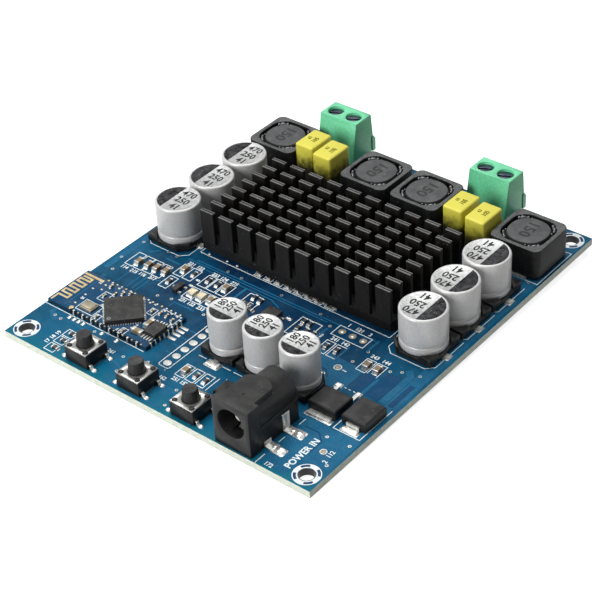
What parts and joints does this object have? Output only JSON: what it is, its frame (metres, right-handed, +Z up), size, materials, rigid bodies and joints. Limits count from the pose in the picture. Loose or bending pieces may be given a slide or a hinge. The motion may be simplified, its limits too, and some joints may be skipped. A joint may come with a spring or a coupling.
{
  "type": "audio amplifier board",
  "caption": "Blue stereo audio amplifier circuit board with a pin heatsink, screw terminals, a power jack and a wireless module.",
  "frame": {"origin": "centre of the four corner holes, on the underside of the board", "axes": "+X along the edge with the buttons and the power jack, +Y to the edge with the screw terminals, +Z up from the board's component side"},
  "size_m": [0.08, 0.098, 0.014],
  "materials": {
    "board_blue": "solder mask over glass fibre board",
    "can_aluminium": "satin drawn can",
    "ceramic_small": "fired ceramic",
    "ceramic_tan": "fired ceramic",
    "chip_black": "moulded epoxy",
    "crystal_lid": "metal lid",
    "ferrite_grey": "dull ferrite",
    "film_yellow": "moulded case",
    "heatsink_black": "black anodised",
    "jack_black": "moulded housing",
    "lamp_cream": "diffuser",
    "nickel_pin": "nickel plated",
    "package_black": "moulded epoxy",
    "plated_steel": "zinc plated",
    "plinth_black": "moulded plinth",
    "resistor_black": "coated ceramic",
    "switch_black": "moulded",
    "switch_cover_steel": "plated sheet",
    "terminal_green": "moulded housing",
    "tinned_metal": "tinned"
  },
  "bodies": {
    "board": {"amplifier_chips": "chip_black", "capacitor_plinths": "plinth_black", "capacitor_terminals": "tinned_metal", "ceramic_capacitors": "ceramic_tan", "chip_leads": "tinned_metal", "chip_resistors": "resistor_black", "circuit_board": "board_blue", "crystal": "crystal_lid", "diode_terminals": "tinned_metal", "diodes": "package_black", "film_capacitor_leads": "tinned_metal", "film_capacitors": "film_yellow", "heatsink": "heatsink_black", "indicator_lamps": "lamp_cream", "inductor_cores": "ferrite_grey", "inductor_shield_centre_left": "ferrite_grey", "inductor_shield_centre_right": "ferrite_grey", "inductor_shield_far_left": "ferrite_grey", "inductor_shield_far_right": "ferrite_grey", "inductor_terminals": "tinned_metal", "input_capacitor_left": "can_aluminium", "input_capacitor_middle": "can_aluminium", "input_capacitor_right": "can_aluminium", "left_capacitor_front": "can_aluminium", "left_capacitor_middle": "can_aluminium", "left_capacitor_rear": "can_aluminium", "memory_chip": "chip_black", "module_chip_parts": "ceramic_small", "power_jack_housing": "jack_black", "power_jack_pin": "nickel_pin", "power_jack_spring": "tinned_metal", "power_jack_tabs": "tinned_metal", "processor": "chip_black", "regulator_body": "package_black", "regulator_leads": "tinned_metal", "right_capacitor_front": "can_aluminium", "right_capacitor_middle": "can_aluminium", "right_capacitor_rear": "can_aluminium", "small_transistors": "chip_black", "switch_bases": "switch_black", "switch_covers": "switch_cover_steel", "switch_domes": "tinned_metal", "switch_legs": "tinned_metal", "terminal_block_left": "terminal_green", "terminal_block_right": "terminal_green", "terminal_contacts": "tinned_metal", "wireless_module_board": "board_blue"},
    "button_left": {"button_left": "switch_black"},
    "button_middle": {"button_middle": "switch_black"},
    "button_right": {"button_right": "switch_black"},
    "clamp_screw_1": {"clamp_screw_1": "plated_steel"},
    "clamp_cage_1": {"clamp_cage_1": "plated_steel"},
    "clamp_screw_2": {"clamp_screw_2": "plated_steel"},
    "clamp_cage_2": {"clamp_cage_2": "plated_steel"},
    "clamp_screw_3": {"clamp_screw_3": "plated_steel"},
    "clamp_cage_3": {"clamp_cage_3": "plated_steel"},
    "clamp_screw_4": {"clamp_screw_4": "plated_steel"},
    "clamp_cage_4": {"clamp_cage_4": "plated_steel"}
  },
  "joints": [
    {"name": "press_button_left", "type": "slide", "parent": "board", "child": "button_left", "axis": [0, 0, -1], "range_m": [0, 0.00025], "stiffness_N_per_m": 4000},
    {"name": "press_button_middle", "type": "slide", "parent": "board", "child": "button_middle", "axis": [0, 0, -1], "range_m": [0, 0.00025], "stiffness_N_per_m": 4000},
    {"name": "press_button_right", "type": "slide", "parent": "board", "child": "button_right", "axis": [0, 0, -1], "range_m": [0, 0.00025], "stiffness_N_per_m": 4000},
    {"name": "turn_clamp_screw_1", "type": "hinge", "parent": "board", "child": "clamp_screw_1", "pos_m": [-0.02694, 0.0455, 0.0098], "axis": [0, 0, -1], "range_deg": [0, 1584]},
    {"name": "raise_clamp_cage_1", "type": "slide", "parent": "board", "child": "clamp_cage_1", "axis": [0, 0, 1], "range_m": [0, 0.0022]},
    {"name": "turn_clamp_screw_2", "type": "hinge", "parent": "board", "child": "clamp_screw_2", "pos_m": [-0.02186, 0.0455, 0.0098], "axis": [0, 0, -1], "range_deg": [0, 1584]},
    {"name": "raise_clamp_cage_2", "type": "slide", "parent": "board", "child": "clamp_cage_2", "axis": [0, 0, 1], "range_m": [0, 0.0022]},
    {"name": "turn_clamp_screw_3", "type": "hinge", "parent": "board", "child": "clamp_screw_3", "pos_m": [0.01426, 0.0455, 0.0098], "axis": [0, 0, -1], "range_deg": [0, 1584]},
    {"name": "raise_clamp_cage_3", "type": "slide", "parent": "board", "child": "clamp_cage_3", "axis": [0, 0, 1], "range_m": [0, 0.0022]},
    {"name": "turn_clamp_screw_4", "type": "hinge", "parent": "board", "child": "clamp_screw_4", "pos_m": [0.01934, 0.0455, 0.0098], "axis": [0, 0, -1], "range_deg": [0, 1584]},
    {"name": "raise_clamp_cage_4", "type": "slide", "parent": "board", "child": "clamp_cage_4", "axis": [0, 0, 1], "range_m": [0, 0.0022]}
  ],
  "couplings": [
    {"joint": "turn_clamp_screw_1", "follows": "raise_clamp_cage_1", "rad_per_m": 12565},
    {"joint": "turn_clamp_screw_2", "follows": "raise_clamp_cage_2", "rad_per_m": 12565},
    {"joint": "turn_clamp_screw_3", "follows": "raise_clamp_cage_3", "rad_per_m": 12565},
    {"joint": "turn_clamp_screw_4", "follows": "raise_clamp_cage_4", "rad_per_m": 12565}
  ]
}
